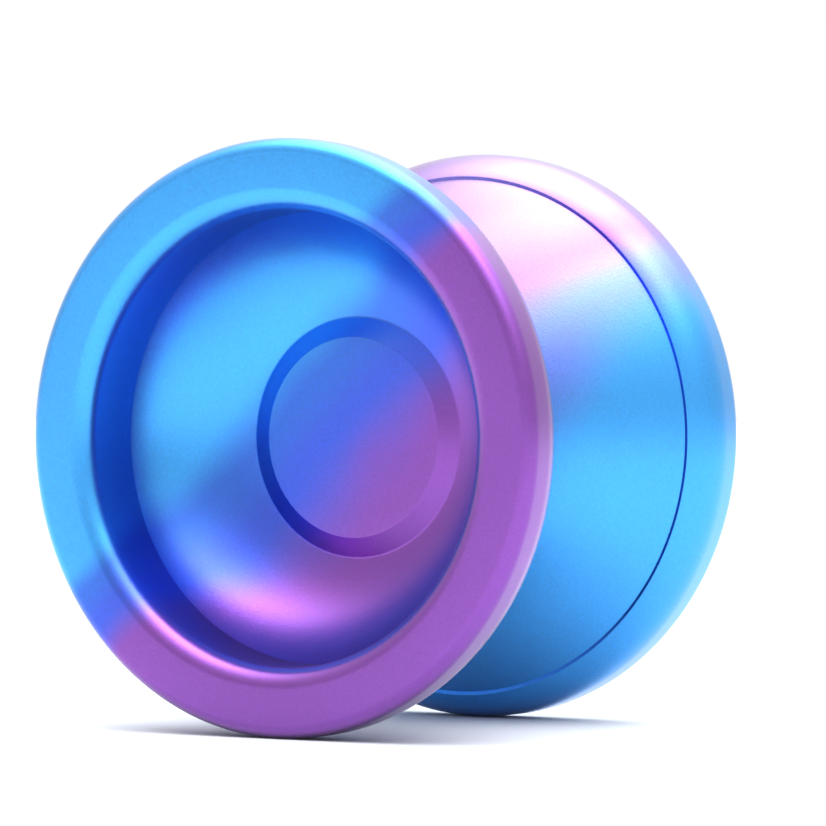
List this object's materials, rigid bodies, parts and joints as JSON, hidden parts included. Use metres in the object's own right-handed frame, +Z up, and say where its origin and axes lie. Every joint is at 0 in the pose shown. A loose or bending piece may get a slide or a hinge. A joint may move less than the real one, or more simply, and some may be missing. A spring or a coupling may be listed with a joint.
{
  "type": "yo-yo",
  "caption": "Metal unresponsive yo-yo: two dished, rounded-rim halves screwed on a short axle, with a shielded ball bearing and response pads in the string gap.",
  "frame": {"origin": "centre of the yo-yo, on the axle's axis and on the mid-plane of the string gap", "axes": "+Z up as it stands on its two rims, Y along the axle with the front half at -Y and the rear half at +Y"},
  "size_m": [0.056, 0.0402, 0.056],
  "materials": {
    "anodised_aluminium": "fine bead-blasted satin, anodised in a soft fade from sky blue to violet",
    "silicone": "matt translucent silicone",
    "axle_steel": "black oxide",
    "race_steel": "ground and polished",
    "ball_steel": "mirror polished",
    "cage_steel": "pressed, dull",
    "shield_steel": "pressed, bright"
  },
  "bodies": {
    "front_half_assembly": {"front_half": "anodised_aluminium", "front_response_pad": "silicone", "axle": "axle_steel"},
    "bearing_core": {"bearing_inner_race": "race_steel"},
    "rear_half_assembly": {"rear_half": "anodised_aluminium", "rear_response_pad": "silicone"},
    "bearing_rim": {"bearing_outer_race": "race_steel", "front_shield": "shield_steel", "rear_shield": "shield_steel", "front_shield_clip": "shield_steel", "rear_shield_clip": "shield_steel"},
    "ball_cage": {"bearing_cage": "cage_steel"},
    "ball_01": {"bearing_ball_01": "ball_steel"},
    "ball_02": {"bearing_ball_02": "ball_steel"},
    "ball_03": {"bearing_ball_03": "ball_steel"},
    "ball_04": {"bearing_ball_04": "ball_steel"},
    "ball_05": {"bearing_ball_05": "ball_steel"},
    "ball_06": {"bearing_ball_06": "ball_steel"},
    "ball_07": {"bearing_ball_07": "ball_steel"},
    "ball_08": {"bearing_ball_08": "ball_steel"},
    "ball_09": {"bearing_ball_09": "ball_steel"},
    "ball_10": {"bearing_ball_10": "ball_steel"}
  },
  "joints": [
    {"name": "bearing_travel", "type": "slide", "parent": "front_half_assembly", "child": "bearing_core", "axis": [0, 1, 0], "range_m": [0, 0.0042]},
    {"name": "unscrew", "type": "hinge", "parent": "bearing_core", "child": "rear_half_assembly", "pos_m": [0, 0, 0], "axis": [0, 1, 0], "range_deg": [0, 2160]},
    {"name": "bearing_spin", "type": "hinge", "parent": "bearing_core", "child": "bearing_rim", "pos_m": [0, 0, 0], "axis": [0, 1, 0], "continuous": true},
    {"name": "cage_orbit", "type": "hinge", "parent": "bearing_core", "child": "ball_cage", "pos_m": [0, 0, 0], "axis": [0, 1, 0], "continuous": true},
    {"name": "ball_01_roll", "type": "hinge", "parent": "ball_cage", "child": "ball_01", "pos_m": [0, 0, 0.00476], "axis": [0, 1, 0], "continuous": true},
    {"name": "ball_02_roll", "type": "hinge", "parent": "ball_cage", "child": "ball_02", "pos_m": [0.0028, 0, 0.00385], "axis": [0, 1, 0], "continuous": true},
    {"name": "ball_03_roll", "type": "hinge", "parent": "ball_cage", "child": "ball_03", "pos_m": [0.00453, 0, 0.00147], "axis": [0, 1, 0], "continuous": true},
    {"name": "ball_04_roll", "type": "hinge", "parent": "ball_cage", "child": "ball_04", "pos_m": [0.00453, 0, -0.00147], "axis": [0, 1, 0], "continuous": true},
    {"name": "ball_05_roll", "type": "hinge", "parent": "ball_cage", "child": "ball_05", "pos_m": [0.0028, 0, -0.00385], "axis": [0, 1, 0], "continuous": true},
    {"name": "ball_06_roll", "type": "hinge", "parent": "ball_cage", "child": "ball_06", "pos_m": [0, 0, -0.00476], "axis": [0, 1, 0], "continuous": true},
    {"name": "ball_07_roll", "type": "hinge", "parent": "ball_cage", "child": "ball_07", "pos_m": [-0.0028, 0, -0.00385], "axis": [0, 1, 0], "continuous": true},
    {"name": "ball_08_roll", "type": "hinge", "parent": "ball_cage", "child": "ball_08", "pos_m": [-0.00453, 0, -0.00147], "axis": [0, 1, 0], "continuous": true},
    {"name": "ball_09_roll", "type": "hinge", "parent": "ball_cage", "child": "ball_09", "pos_m": [-0.00453, 0, 0.00147], "axis": [0, 1, 0], "continuous": true},
    {"name": "ball_10_roll", "type": "hinge", "parent": "ball_cage", "child": "ball_10", "pos_m": [-0.0028, 0, 0.00385], "axis": [0, 1, 0], "continuous": true}
  ],
  "couplings": [
    {"joint": "bearing_travel", "follows": "unscrew", "m_per_rad": 0.00011141},
    {"joint": "cage_orbit", "follows": "bearing_spin", "ratio": 0.58333},
    {"joint": "ball_01_roll", "follows": "bearing_spin", "ratio": 2.9167},
    {"joint": "ball_02_roll", "follows": "bearing_spin", "ratio": 2.9167},
    {"joint": "ball_03_roll", "follows": "bearing_spin", "ratio": 2.9167},
    {"joint": "ball_04_roll", "follows": "bearing_spin", "ratio": 2.9167},
    {"joint": "ball_05_roll", "follows": "bearing_spin", "ratio": 2.9167},
    {"joint": "ball_06_roll", "follows": "bearing_spin", "ratio": 2.9167},
    {"joint": "ball_07_roll", "follows": "bearing_spin", "ratio": 2.9167},
    {"joint": "ball_08_roll", "follows": "bearing_spin", "ratio": 2.9167},
    {"joint": "ball_09_roll", "follows": "bearing_spin", "ratio": 2.9167},
    {"joint": "ball_10_roll", "follows": "bearing_spin", "ratio": 2.9167}
  ]
}
